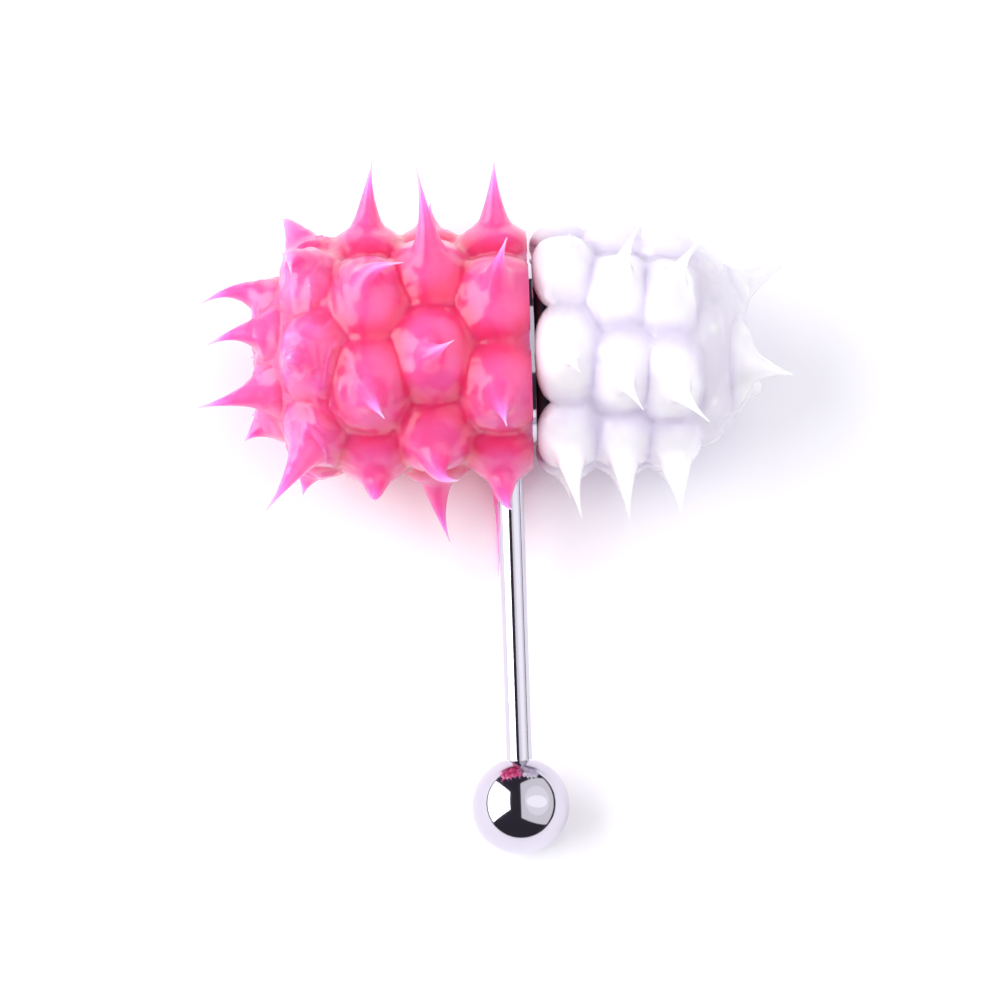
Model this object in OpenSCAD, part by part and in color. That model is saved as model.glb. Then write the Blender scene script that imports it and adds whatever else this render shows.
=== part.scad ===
// Tongue barbell: a steel screw capsule in two spiky silicone sleeves, with a post and a ball.
// It lies on its sleeves and its ball. X runs along the capsule, and the post points to -Y.

/* [Capsule] */
// Outer diameter of the steel capsule
capsule_d = 11.4; // [10:0.1:13]
// Wall of the steel capsule
capsule_wall = 0.6; // [0.4:0.05:0.8]
// Length of the body half, from its closed end to its rim
body_l = 15.9; // [14:0.1:20]
// Length of the cap half, from its edge to its closed end
cap_l = 11.3; // [10:0.1:16]
// Rounding of both closed ends
end_round = 4.5; // [3.5:0.1:4.8]
// Length of the neck that the cap turns on, from the body's rim
neck_l = 4; // [3:0.1:5]
// Wall of the neck
neck_wall = 0.5; // [0.4:0.05:0.8]
// Length of the thick ring that joins the neck to the body
shoulder_l = 1.2; // [0.8:0.1:2]
// Clearance between neck and cap, on the radius
turn_gap = 0.05; // [0.02:0.01:0.08]
// Distance from the post's axis to the body's rim
post_to_rim = 1.7; // [1.5:0.1:3]

/* [Seal ring] */
// Thickness of the rubber ring between the two halves
seal_d = 0.8; // [0.5:0.05:1.2]
// Clearance round the rubber ring
seal_gap = 0.03; // [0.02:0.01:0.05]
// Gap between the rubber ring and the bumps that reach over it
ring_gap = 0.15; // [0.1:0.01:0.3]

/* [Post and ball] */
// Diameter of the post
post_d = 1.6; // [1.2:0.1:2]
// Length of the post between its seat and the ball
post_l = 17.8; // [12:0.1:24]
// Diameter of the threaded tails at both ends of the post
thread_d = 1.2; // [0.8:0.1:1.1]
// Length of each threaded tail
thread_l = 1.4; // [1:0.1:1.6]
// Clearance round a threaded tail, on the radius
thread_gap = 0.05; // [0.02:0.01:0.08]
// Clearance at the end faces of the post
face_gap = 0.05; // [0.02:0.01:0.1]
// Diameter of the boss that holds the post
boss_d = 2.5; // [2.4:0.1:3.2]
// How far the boss stays below the bumps
boss_set = 0.6; // [0.3:0.05:0.9]
// Diameter of the ball
ball_d = 6; // [5:0.1:8]
// Depth of the flat where the post enters the ball
ball_flat = 0.2; // [0.15:0.05:0.5]

/* [Silicone sleeves] */
// Clearance between steel and silicone
sleeve_gap = 0.1; // [0.05:0.01:0.2]
// Wall of the sleeves under the bumps
sleeve_wall = 1.1; // [0.9:0.05:1.4]
// Steel left bare between the pink sleeve and the body's rim
rim_show = 0.28; // [0.2:0.02:0.6]
// Gap between the bumps of the two sleeves
parting = 0.25; // [0.2:0.05:0.4]
// Radial gap round the boss in the pink sleeve
boss_gap = 0.15; // [0.12:0.01:0.3]
// Width of the lip round the boss
lip_w = 0.55; // [0.3:0.05:0.8]

/* [Bumps and spikes] */
// Height of a bump above the sleeve's wall
bump_h = 1.05; // [0.8:0.05:1.4]
// Length of a bump along the capsule
bump_l = 4.5; // [4:0.1:5.5]
// How deep a bump's round form is sunk in the wall
bump_sink = 0.55; // [0.4:0.05:0.8]
// Length of a spike beyond its bump
spike_l = 4.3; // [2:0.1:6]
// Radius of a spike where it leaves its bump's flare
spike_r = 0.59; // [0.4:0.01:0.8]
// Gap between the floor and the spikes that lie on it
floor_gap = 0.1; // [0.05:0.01:0.3]

/* [Hidden] */
round_fn = 96;
sleeve_fn = 32;
bump_fn = 10;
spike_sides = 6;
steps = [1.08, 1, 0.88, 0.68, 0.4];
wide = 9.5;
past = 1;

// Steel radii, from the outside in
steel_r = capsule_d / 2;
hollow_r = steel_r - capsule_wall;
neck_r = hollow_r - turn_gap;
neck_in_r = neck_r - neck_wall;

// Places along X
rim_x = post_to_rim;
cap_x = rim_x + seal_d + 2 * seal_gap;
pink_x = rim_x - rim_show;
part_x = rim_x + 0.27 * (cap_x - rim_x);

// Radii and lengths of the sleeves
inner_r = steel_r + sleeve_gap;
wall_r = inner_r + sleeve_wall;
crest_r = wall_r + bump_h;
mouth_r = neck_r + seal_gap + seal_d + ring_gap;
skin = sleeve_gap + sleeve_wall;
round_r = end_round + skin;
flat_r = wall_r - round_r;
pink_l = body_l - rim_show + skin;
white_l = cap_l + skin;

// Places along the post, from the capsule's axis
boss_end = crest_r - boss_set;
post_start = boss_end + face_gap;
post_end = post_start + post_l;
ball_at = post_end + face_gap + ball_d / 2 - ball_flat;

// How it lies: on its lowest bumps and on the ball
lie = asin((crest_r - ball_d / 2) / ball_at);
up = [0, sin(lie), cos(lie)];
down_angle = -180 + lie;

// Each sleeve: the place of its edge, the way it runs from there, and its length
PINK = [pink_x, -1, pink_l];
WHITE = [cap_x, 1, white_l];

// Rings of bumps. along: place from the open edge to the pole, as a share of the outline.
// count and start: bumps in the ring and the first one's angle from the top, in degrees.
// length, rise and spike: shares of bump_l, bump_h and spike_l.
pink_rings = [
    // along, count, start, length, rise, spike
    [0.09, 7, -22, 1, 1, 1],
    [0.282, 7, -2, 1, 1, 1],
    [0.457, 7, -18.5, 1, 1, 1],
    [0.637, 7, -2, 0.92, 0.75, 1],
    [0.812, 7, -30.5, 0.72, 0.35, 1]
];
white_rings = [
    [0.068, 7, -4.5, 0.84, 1, 1],
    [0.26, 8, -14.5, 0.84, 1, 1],
    [0.437, 8, -19.5, 0.82, 0.95, 1],
    [0.6, 8, 8, 0.66, 0.3, 0],
    [0.775, 3, -22, 0.7, 0.4, 1]
];

// Spikes with a set of their own. ring and bump: counted from 0. length: a share of the
// ring's spike. along and round: how far the tip leans, as shares of the spike.
pink_set = [
    // ring, bump, length, along, round
    [0, 0, 1, 0.07, -0.09],
    [0, 1, 1, 0.16, 0.14],
    [0, 2, 1, 0.03, -0.08],
    [0, 5, 1.75, -0.06, 0.5],
    [0, 6, 1, 0.12, 0.67],
    [1, 0, 1, 0.62, 0.41],
    [1, 1, 1.25, -0.11, 0.54],
    [1, 2, 0.45, 0.1, 0.1],
    [1, 5, 1, 0.17, -0.09],
    [1, 6, 1, 0.33, 0.47],
    [2, 0, 1, 0.19, -0.09],
    [2, 1, 0.8, 0.65, -0.16],
    [2, 2, 1, 0.1, -0.1],
    [2, 5, 0.35, 0, 0.1],
    [2, 6, 0.8, -0.06, 0.7],
    [3, 0, 1, 0.29, 0.02],
    [3, 1, 1, 0.11, -0.84],
    [3, 2, 1, -0.05, 0.71],
    [3, 5, 0.4, 0.1, 0],
    [3, 6, 1.16, -0.12, -0.11],
    [4, 0, 1, -0.09, -0.02],
    [4, 1, 0.78, -0.38, -0.23],
    [4, 2, 0.9, -0.45, -0.32],
    [4, 3, 0.5, 0.5, -0.5],
    [4, 4, 0.4, 0, 0],
    [4, 5, 0.4, 0, 0],
    [4, 6, 0.4, 0.2, 0.2]
];
white_set = [
    [0, 0, 0.5, 0.3, -0.5],
    [0, 1, 0.3, 0.3, 0.2],
    [0, 2, 0.4, 0.17, 0.3],
    [0, 5, 0.4, 0, 0.2],
    [0, 6, 1, 0.12, -0.17],
    [1, 0, 1, 0.25, -0.3],
    [1, 1, 1, 0.3, 0.32],
    [1, 2, 0.35, 0.2, 0.6],
    [1, 3, 0.5, 0.1, 0.1],
    [1, 6, 0.4, 0, 0.2],
    [1, 7, 1, 0.05, -0.36],
    [2, 0, 1, 0.36, -0.3],
    [2, 1, 1, 0.28, 0.22],
    [2, 2, 0.35, 0.2, 0.6],
    [2, 3, 0.5, 0.1, 0.1],
    [2, 6, 0.4, 0, 0.2],
    [2, 7, 1, -0.06, 0.19],
    [4, 0, 0.75, -0.19, 0.01],
    [4, 1, 1, -0.02, 0.11],
    [4, 2, 0.6, -0.5, -0.5]
];

// Length of a sleeve's outline from its open edge to its pole
function outline_l(l) = l - round_r + round_r * PI / 2 + flat_r;

// Frame on a sleeve's outline: the point, and the directions out, along X and round
function stand(sleeve, along, angle) =
    let (
        straight = sleeve[2] - round_r,
        run = along * outline_l(sleeve[2]),
        bend = min(90, max(0, run - straight) / round_r * 180 / PI),
        x = sleeve[0] + sleeve[1] * (min(run, straight) + round_r * sin(bend)),
        r = flat_r + round_r * cos(bend),
        a = sin(angle),
        b = cos(angle)
    )
    [
        [x, r * a, r * b],
        [sleeve[1] * sin(bend), cos(bend) * a, cos(bend) * b],
        [cos(bend), -sleeve[1] * sin(bend) * a, -sleeve[1] * sin(bend) * b],
        [0, b, -a]
    ];

function bump_angle(ring, k) = ring[2] + k * 360 / ring[1];

// Degrees from straight down, from -180 to 180
function off_down(angle) = (angle - down_angle + 540) % 360 - 180;

// Spikes under the sleeve lie down on the floor, away from the lowest line.
// The others lean a little, each its own way.
function own_lean(frame, angle, i, k) =
    let (
        down = min(1, max(0, -frame[1] * up - 0.35) / 0.5),
        side = off_down(angle) >= 0 ? 1 : -1,
        drift = 0.16 * (1 - down)
    )
    [drift * sin(137 * k + 60 * i), drift * cos(97 * k + 40 * i) + 0.9 * down * side];

// One row for each spike: its frame, rise, length and lean
function spikes(sleeve, rings, set) = [
    for (i = [0:len(rings) - 1])
        for (k = [0:rings[i][1] - 1])
            let (
                ring = rings[i],
                angle = bump_angle(ring, k),
                frame = stand(sleeve, ring[0], angle),
                own = [for (row = set) if (row[0] == i && row[1] == k) row],
                lean = len(own) > 0 ? [own[0][3], own[0][4]] : own_lean(frame, angle, i, k),
                share = ring[5] * (len(own) > 0 ? own[0][2] : 1)
            )
            if (share > 0) [frame, ring[4] * bump_h, share * spike_l, lean]
];

function crest(s) = s[0][0] + s[1] * s[0][1];

// Direction from crest to tip
function aim(s) =
    s[0][1] * sqrt(max(0, 1 - s[3][0] ^ 2 - s[3][1] ^ 2)) + s[0][2] * s[3][0] + s[0][3] * s[3][1];

// Keeps a section of a given radius above the floor
function lifted(p, r) = p + up * max(0, r + floor_gap - crest_r - p * up);

// Radius and centre of a spike's section. t: 0 at the tip, 1 at the crest, more inside the bump
function spike_radius(t) = spike_r * (t + t ^ 7.5);
function spike_centre(s, t) =
    let (
        c = crest(s),
        u = max(0, 1 - t),
        v = min(t, 1),
        bent = c * v * v + (c + s[0][1] * s[2] / 2) * 2 * u * v + (c + aim(s) * s[2]) * u * u
    )
    lifted(bent - s[0][1] * max(0, t - 1) * s[2], spike_radius(t));

function unit(v) = v / norm(v);
function spike_ring(s, t) =
    let (
        c = spike_centre(s, t),
        way = unit(spike_centre(s, t - 0.05) - spike_centre(s, t + 0.05)),
        side = unit(cross(way, s[0][2])),
        other = cross(way, side),
        r = spike_radius(t)
    )
    [for (k = [0:spike_sides - 1])
        let (a = k * 360 / spike_sides) c + r * (side * cos(a) + other * sin(a))];

pink_spikes = spikes(PINK, pink_rings, pink_set);
white_spikes = spikes(WHITE, white_rings, white_set);

// The model's middle, from the tips of all spikes and the ball
tips = [for (s = concat(pink_spikes, white_spikes)) spike_centre(s, 0)];
tips_x = [for (p = tips) p[0]];
tips_y = [for (p = tips) p[1] * cos(lie) - p[2] * sin(lie)];
ball_y = -ball_at * cos(lie) - ball_d / 2;
mid_x = (min(tips_x) + max(tips_x)) / 2;
mid_y = (min(min(tips_y), ball_y) + max(tips_y)) / 2;

// Lays the model down on the floor with its middle at the origin
module lying() {
    translate([-mid_x, -mid_y, crest_r]) rotate([lie, 0, 0]) children();
}

// Turns an outline of radius and length round the capsule's axis
module turned(fn = round_fn) {
    rotate([0, 90, 0]) rotate_extrude($fn = fn) children();
}

// Points Z outwards along the post
module out_along_post() {
    rotate([90, 0, 0]) children();
}

// Half outline of a round bar from 0 to l with a rounded far end
module bar_outline(r, l, round, fn = round_fn) {
    intersection() {
        union() {
            square([r, l - round]);
            square([r - round, l]);
            translate([r - round, l - round]) circle(round, $fn = fn);
        }
        square([r, l]);
    }
}

module capsule_body() {
    color("silver") lying() difference() {
        union() {
            translate([rim_x, 0, 0]) mirror([1, 0, 0]) turned() difference() {
                bar_outline(steel_r, body_l, end_round);
                intersection() {
                    bar_outline(hollow_r, body_l - capsule_wall, end_round - capsule_wall);
                    translate([0, shoulder_l]) square([steel_r, body_l]);
                }
                translate([0, -past]) square([neck_in_r, shoulder_l + 2 * past]);
            }
            translate([rim_x, 0, 0]) turned()
                translate([neck_in_r, -shoulder_l]) square([neck_wall, shoulder_l + neck_l]);
            out_along_post() translate([0, 0, hollow_r + capsule_wall / 2])
                cylinder(h = boss_end - hollow_r - capsule_wall / 2, d = boss_d, $fn = round_fn);
        }
        out_along_post() translate([0, 0, boss_end - thread_l])
            cylinder(h = thread_l + past, r = thread_d / 2 + thread_gap, $fn = round_fn);
    }
}

module capsule_cap() {
    color("silver") lying() translate([cap_x, 0, 0]) turned() difference() {
        bar_outline(steel_r, cap_l, end_round);
        translate([0, -past])
            bar_outline(hollow_r, cap_l - capsule_wall + past, end_round - capsule_wall);
    }
}

module seal_ring() {
    color("dimgray") lying() translate([(rim_x + cap_x) / 2, 0, 0]) turned()
        translate([neck_r + seal_gap + seal_d / 2, 0]) circle(d = seal_d, $fn = round_fn);
}

module post() {
    color("gainsboro") lying() out_along_post() {
        translate([0, 0, post_start]) cylinder(h = post_l, d = post_d, $fn = round_fn);
        translate([0, 0, post_start - thread_l])
            cylinder(h = post_l + 2 * thread_l, d = thread_d, $fn = round_fn);
    }
}

module ball() {
    color("gainsboro") lying() out_along_post() difference() {
        translate([0, 0, ball_at]) sphere(d = ball_d, $fn = round_fn);
        translate([0, 0, post_end + face_gap - ball_d]) cylinder(h = ball_d, d = ball_d, $fn = round_fn);
        translate([0, 0, post_end]) cylinder(
            h = thread_l + 2 * face_gap, r = thread_d / 2 + thread_gap, $fn = round_fn);
    }
}

// Moves and turns what is drawn at the origin onto a frame, with Z outwards and X along
module placed(frame, rise) {
    p = frame[0] + rise * frame[1];
    m = [for (row = [0:2]) [frame[2][row], frame[3][row], frame[1][row], p[row]]];
    multmatrix(m) children();
}

// A cushion that follows its ring: a flat round form drawn out round the sleeve.
// A wide one has a third form in its middle, which keeps its height there.
module bump(sleeve, ring, k) {
    angle = bump_angle(ring, k);
    frame = stand(sleeve, ring[0], angle);
    reach = norm([frame[0][1], frame[0][2]]) * sin(180 / ring[1]);
    half_l = bump_l / 2 * ring[3];
    end_w = min(reach, half_l);
    spread = max(0, (reach - end_w) / reach * 180 / ring[1]);
    hull() for (way = spread > wide ? [-1, 0, 1] : [-1, 1])
        placed(stand(sleeve, ring[0], angle + way * spread), -bump_sink)
            scale([half_l, end_w, bump_sink + ring[4] * bump_h]) sphere(1, $fn = bump_fn);
}

// A spike drawn to a point from a wide flare
module spike(s) {
    n = spike_sides;
    rows = len(steps);
    points = concat([for (t = steps) each spike_ring(s, t)], [spike_centre(s, 0)]);
    sides = [for (j = [0:rows - 2]) for (k = [0:n - 1])
        [j * n + k, (j + 1) * n + k, (j + 1) * n + (k + 1) % n, j * n + (k + 1) % n]];
    point = [for (k = [0:n - 1]) [(rows - 1) * n + k, rows * n, (rows - 1) * n + (k + 1) % n]];
    polyhedron(points, concat([[for (k = [0:n - 1]) k]], sides, point));
}

// A hollow sleeve with its bumps, spikes and what is added, cut at the parting plane
module sleeve_form(sleeve, rings, spike_rows) {
    difference() {
        union() {
            translate([sleeve[0], 0, 0]) mirror([sleeve[1] < 0 ? 1 : 0, 0, 0]) turned(sleeve_fn)
                bar_outline(wall_r, sleeve[2], round_r, sleeve_fn);
            for (ring = rings) for (k = [0:ring[1] - 1]) bump(sleeve, ring, k);
            for (s = spike_rows) spike(s);
            children();
        }
        translate([sleeve[0], 0, 0]) mirror([sleeve[1] < 0 ? 1 : 0, 0, 0]) turned(sleeve_fn)
            translate([0, -crest_r]) {
                bar_outline(inner_r, sleeve[2] - sleeve_wall + crest_r, round_r - sleeve_wall, sleeve_fn);
                square([mouth_r, crest_r + sleeve_gap]);
            }
        translate([part_x + sleeve[1] * (parting / 2 - crest_r), 0, 0])
            cube([2 * crest_r, 3 * crest_r, 3 * crest_r], center = true);
    }
}

module pink_sleeve() {
    hole_r = boss_d / 2 + boss_gap;
    color("hotpink") lying() difference() {
        sleeve_form(PINK, pink_rings, pink_spikes)
            out_along_post() cylinder(h = boss_end, r = hole_r + lip_w, $fn = sleeve_fn);
        out_along_post() cylinder(h = post_end, r = hole_r, $fn = sleeve_fn);
    }
}

module white_sleeve() {
    color("white") lying() sleeve_form(WHITE, white_rings, white_spikes);
}

capsule_body();
capsule_cap();
seal_ring();
post();
ball();
pink_sleeve();
white_sleeve();
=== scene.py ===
"""A tongue barbell: two spiky silicone sleeves on a polished steel capsule, a post and a ball."""

import math
import random

import bpy
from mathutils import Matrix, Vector


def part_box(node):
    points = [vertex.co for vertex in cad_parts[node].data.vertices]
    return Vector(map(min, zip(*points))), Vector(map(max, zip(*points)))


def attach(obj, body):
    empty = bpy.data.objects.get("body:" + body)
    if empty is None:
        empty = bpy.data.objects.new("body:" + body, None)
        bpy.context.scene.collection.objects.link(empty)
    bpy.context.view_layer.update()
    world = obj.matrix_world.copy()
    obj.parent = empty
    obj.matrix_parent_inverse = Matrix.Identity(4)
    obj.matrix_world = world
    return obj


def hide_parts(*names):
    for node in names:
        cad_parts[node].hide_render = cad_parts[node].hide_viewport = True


bl_info = {
    "name": "Tongue barbell",
    "version": (1, 0, 0),
    "blender": (4, 5, 0),
    "location": "3D View > Sidebar > Barbell",
    "description": "Spiky silicone sleeves, steel and rubber finishes, and a pale studio",
    "category": "Object",
}

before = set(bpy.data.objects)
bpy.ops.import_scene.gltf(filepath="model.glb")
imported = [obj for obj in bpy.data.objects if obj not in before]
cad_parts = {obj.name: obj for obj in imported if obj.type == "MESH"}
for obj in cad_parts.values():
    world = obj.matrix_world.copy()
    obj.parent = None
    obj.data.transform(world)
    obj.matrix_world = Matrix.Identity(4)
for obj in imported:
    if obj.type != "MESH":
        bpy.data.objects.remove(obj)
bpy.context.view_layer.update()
MM = 0.001

# Sizes and shares of the meshes that a user has no need to change
EDGE_ROUND = 0.25 * MM  # how softly a bump stops at its sleeve's open edge
OFF_FLOOR = 0.02 * MM  # least height of any point above the floor
LEVEL_LIFT = 0.4 * MM  # a spike that is lifted this far runs level with the floor
SKIRT = 0.88  # share of a bump's mesh rings from the tip to the edge; the rest close it below
CROWDING = 2.2  # power by which a bump's mesh rings lie closer together towards its tip
CROWN = 2.3  # power of a bump's profile: 2 is an ellipse, and more is flatter on top
OVAL_LEAST = 2.0  # power of a bump's section at its spike, where it is round
OVAL_MORE = 0.6  # how much higher that power is at the bump's edge, where it is fuller
BLUNT = 0.08  # share of the mesh rings over which a spike's tip opens out
BUMP_ROWS = 48  # mesh rings and segments of one bump
WALL_ROWS = 96  # mesh rings and segments of the wall
SHARP = 1.2  # angle in radians above which an edge is shaded hard
LEAST_FACES = 10000  # a sleeve with fewer has failed

# How the spikes that have no set of their own lean
DRIFT = 0.16  # lean of the free ones, as a share of the spike
LIE_LEAN = 0.9  # lean of those that lie on the floor
LIE_FROM = 0.35  # how far down a bump faces before its spike starts to lie
LIE_OVER = 0.5  # over how much more it comes to lie fully

# How uneven the bumps are: most that one is lower, and its length and width as shares
UNEVEN_RISE = 0.12
UNEVEN_LENGTH = (0.96, 1.04)
UNEVEN_WIDTH = (0.98, 1.04)

SENSOR_W = 36  # width of the camera's sensor, in millimetres
FLOOR_W = 6  # width of the floor, in metres

# Rings of bumps. along: place from the open edge to the pole, as a share of the outline.
# count and start: bumps in the ring and the first one's angle from the top, in degrees.
# length, rise and spike: shares of the full bump length, bump height and spike length.
PINK_RINGS = [
    # along, count, start, length, rise, spike
    (0.09, 7, -22, 1, 1, 1),
    (0.282, 7, -2, 1, 1, 1),
    (0.457, 7, -18.5, 1, 1, 1),
    (0.637, 7, -2, 0.92, 0.75, 1),
    (0.812, 7, -30.5, 0.72, 0.35, 1),
]
WHITE_RINGS = [
    (0.068, 7, -4.5, 0.84, 1, 1),
    (0.26, 8, -14.5, 0.84, 1, 1),
    (0.437, 8, -19.5, 0.82, 0.95, 1),
    (0.6, 8, 8, 0.6, 0.12, 0),
    (0.775, 3, -22, 0.7, 0.4, 1),
]

# Spikes with a set of their own, by ring and bump. length: a share of the ring's spike.
# along and round: how far the tip leans, as shares of the spike.
PINK_SET = {
    # (ring, bump): (length, along, round)
    (0, 0): (1, 0.07, -0.09),
    (0, 1): (1, 0.16, 0.14),
    (0, 2): (1, 0.03, -0.08),
    (0, 5): (1.75, -0.06, 0.5),
    (0, 6): (1, 0.12, 0.67),
    (1, 0): (0.6, 0.55, 0.3),
    (1, 1): (1.25, -0.11, 0.54),
    (1, 2): (0.45, 0.1, 0.1),
    (1, 5): (1, 0.17, -0.09),
    (1, 6): (1, 0.33, 0.47),
    (2, 0): (1, 0.19, -0.09),
    (2, 1): (0.8, 0.65, -0.16),
    (2, 2): (1, 0.1, -0.1),
    (2, 5): (0.35, 0, 0.1),
    (2, 6): (0.8, -0.06, 0.7),
    (3, 0): (1, 0.29, 0.02),
    (3, 1): (1, 0.11, -0.84),
    (3, 2): (1, -0.05, 0.71),
    (3, 5): (0.4, 0.1, 0),
    (3, 6): (1.16, -0.12, -0.11),
    (4, 0): (1, -0.09, -0.02),
    (4, 1): (0.78, -0.38, -0.23),
    (4, 2): (0.9, -0.45, -0.32),
    (4, 3): (0.3, 0.5, -0.5),
    (4, 4): (0.25, 0, 0),
    (4, 5): (0.25, 0, 0),
    (4, 6): (0.4, 0.2, 0.2),
}
WHITE_SET = {
    (0, 0): (0.5, 0.3, -0.5),
    (0, 1): (0.3, 0.3, 0.2),
    (0, 2): (0.4, 0.17, 0.3),
    (0, 5): (0.4, 0, 0.2),
    (0, 6): (1, 0.12, -0.17),
    (1, 0): (1, 0.25, -0.3),
    (1, 1): (1, 0.3, 0.32),
    (1, 2): (0.35, 0.2, 0.6),
    (1, 3): (0.5, 0.1, 0.1),
    (1, 6): (0.4, 0, 0.2),
    (1, 7): (1, 0.05, -0.36),
    (2, 0): (1, 0.36, -0.3),
    (2, 1): (1, 0.28, 0.22),
    (2, 2): (0.35, 0.2, 0.6),
    (2, 3): (0.5, 0.1, 0.1),
    (2, 6): (0.4, 0, 0.2),
    (2, 7): (1, -0.06, 0.19),
    (4, 0): (0.75, -0.19, 0.01),
    (4, 1): (1, -0.02, 0.11),
    (4, 2): (0.6, -0.5, -0.5),
}


# Settings


def in_mm(name, description, mm):
    """A length setting, given in millimetres."""
    return bpy.props.FloatProperty(
        name=name, description=description, default=mm * MM, unit="LENGTH"
    )


class SleeveSizes(bpy.types.PropertyGroup):
    """Sizes of the silicone sleeves"""

    steel_r: in_mm("Capsule radius", "Outer radius of the steel capsule in the sleeves", 5.7)
    gap: in_mm("Gap", "Clearance between steel and silicone", 0.1)
    wall: in_mm("Wall", "Wall of the sleeves under the bumps", 1.1)
    end_round: in_mm("End rounding", "Rounding of the capsule's closed ends", 4.5)
    pink_x: in_mm("Pink edge", "Place of the pink sleeve's open edge, from the post's axis", 1.42)
    pink_l: in_mm("Pink length", "Length of the pink sleeve under its bumps", 16.82)
    white_x: in_mm(
        "White edge", "Place of the white sleeve's open edge, from the post's axis", 2.56
    )
    white_l: in_mm("White length", "Length of the white sleeve under its bumps", 12.5)
    bump_h: in_mm("Bump height", "Height of a bump above the wall", 1.05)
    bump_l: in_mm("Bump length", "Length of a bump along the capsule", 4.5)
    bump_sink: in_mm("Bump sink", "How deep a bump's edge is sunk in the wall", 0.55)
    overlap: bpy.props.FloatProperty(
        name="Overlap",
        description="How much wider a bump is than its room, so that it meets its neighbours",
        default=1.12,
        min=1,
        max=1.3,
    )
    spike_l: in_mm("Spike length", "Length of a spike beyond its bump", 4.3)
    spike_r: in_mm("Spike radius", "Radius at which a spike's cone meets its bump", 0.95)
    spike_draw: bpy.props.FloatProperty(
        name="Spike draw",
        description="How much a spike narrows like a drawn thread: 1 is a plain cone",
        default=0.62,
        min=0.3,
        max=1,
    )
    flare: bpy.props.FloatProperty(
        name="Flare",
        description="How softly a spike runs out into its bump, as a share of the spike",
        default=0.1,
        min=0.01,
        max=0.4,
    )
    tip_r: in_mm("Tip radius", "Radius of a spike's blunt tip", 0.035)
    floor_gap: in_mm("Floor gap", "Gap between the floor and the spikes that lie on it", 0.1)
    ball_at: in_mm("Ball place", "Distance of the ball's centre from the capsule's axis", 28.05)
    hole_r: in_mm("Post hole radius", "Radius of the hole round the post's boss", 1.4)
    lip_w: in_mm("Lip width", "Width of the lip round the post's boss", 0.55)
    lip_h: in_mm("Lip height", "How far the lip round the boss reaches from its middle", 1.3)
    lip_at: in_mm("Lip place", "Distance of the lip's middle from the capsule's axis", 6.3)
    pink_reach: in_mm(
        "Pink reach", "How far the pink bumps reach past their sleeve's open edge", 0.05
    )
    white_reach: in_mm(
        "White reach", "How far the white bumps reach past their sleeve's open edge", 0.95
    )
    edge_w: in_mm(
        "Edge width", "Width of the plain strip along the open edge, which stays unswollen", 1.2
    )
    softening: bpy.props.IntProperty(
        name="Softening",
        description="How many times the creases between the bumps are smoothed",
        default=9,
        min=0,
        max=80,
    )
    swell: in_mm("Swell", "How far the skin swells in and out", 0.45)
    folds: in_mm("Folds", "Height of the folds near the pink sleeve's closed end", 0.3)


def colour_property(name, description, hex_value):
    """A colour setting, kept as an sRGB hex value."""
    return bpy.props.StringProperty(name=name, description=description, default=hex_value)


class Finishes(bpy.types.PropertyGroup):
    """Colours of the rubber and the steel, as sRGB hex values"""

    pink: colour_property("Pink", "Pink silicone on the bumps", "#FF5FA6")
    # Painted shade: the deeper pink laid between the bumps, where shade falls in the creases
    pink_painted_shade: colour_property("Deep pink", "Pink silicone between the bumps", "#FF3872")
    # Also laid on the pink sleeve's closed end as painted light, where the lamp at the left falls
    pink_tip: colour_property("Pink tip", "Pink silicone where a spike is thin", "#F58EDF")
    white: colour_property("White", "White silicone on the bumps", "#F4F0FF")
    # Painted shade: the lavender white laid between the bumps, where shade falls in the creases
    white_painted_shade: colour_property("White shade", "White silicone between the bumps", "#E3DBF4")
    steel: colour_property("Steel", "Polished steel", "#D0CCD8")
    rubber: colour_property("Rubber", "Black ring between the sleeves", "#1B1220")


class StudioSettings(bpy.types.PropertyGroup):
    """Floor, lights and camera"""

    elevation: bpy.props.FloatProperty(
        name="Elevation",
        description="Angle of the camera above the floor",
        default=math.radians(79),
        subtype="ANGLE",
    )
    turn: bpy.props.FloatProperty(
        name="Turn",
        description="Turn of the camera round the object",
        default=math.radians(-1.9),
        subtype="ANGLE",
    )
    view_w: in_mm("View width", "Width that the camera sees at the object", 62.2)
    lens: bpy.props.FloatProperty(
        name="Lens",
        description="Focal length of the camera, in millimetres",
        default=200,
        unit="CAMERA",
    )
    aim: bpy.props.FloatVectorProperty(
        name="Aim",
        description="Point that the camera looks at, from where the capsule and the post cross",
        default=(-0.61 * MM, -8.79 * MM, -2.95 * MM),
        subtype="TRANSLATION",
    )
    brightness: bpy.props.FloatProperty(
        name="Brightness",
        description="Strength of all lights together, as a share",
        default=0.94,
        min=0,
    )
    floor: bpy.props.StringProperty(
        name="Floor", description="Colour of the floor, as an sRGB hex value", default="#F9F8FC"
    )
    dark: bpy.props.StringProperty(
        name="Dark", description="Colour of the room behind the lights", default="#37333C"
    )


# Node helpers


def linear(hex_value):
    """An sRGB hex colour as linear RGBA."""
    parts = [int(hex_value[i : i + 2], 16) / 255 for i in (1, 3, 5)]
    return [c / 12.92 if c <= 0.04045 else ((c + 0.055) / 1.055) ** 2.4 for c in parts] + [1]


def apart(mm):
    """The scale of a noise whose waves lie so many millimetres apart."""
    return 1 / (mm * MM)


def add(tree, kind, values=None, **settings):
    """Adds a node. values: for each input a plain value, or the output that feeds it.

    Of inputs that share a name, the one that the settings leave in use is meant.
    """
    made = tree.nodes.new(kind)
    for name, value in settings.items():
        setattr(made, name, value)
    used = {socket.name: socket for socket in reversed(made.inputs) if socket.enabled}
    for key, value in (values or {}).items():
        socket = used[key] if isinstance(key, str) else made.inputs[key]
        if isinstance(value, bpy.types.NodeSocket):
            tree.links.new(value, socket)
        else:
            socket.default_value = value
    return made


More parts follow.
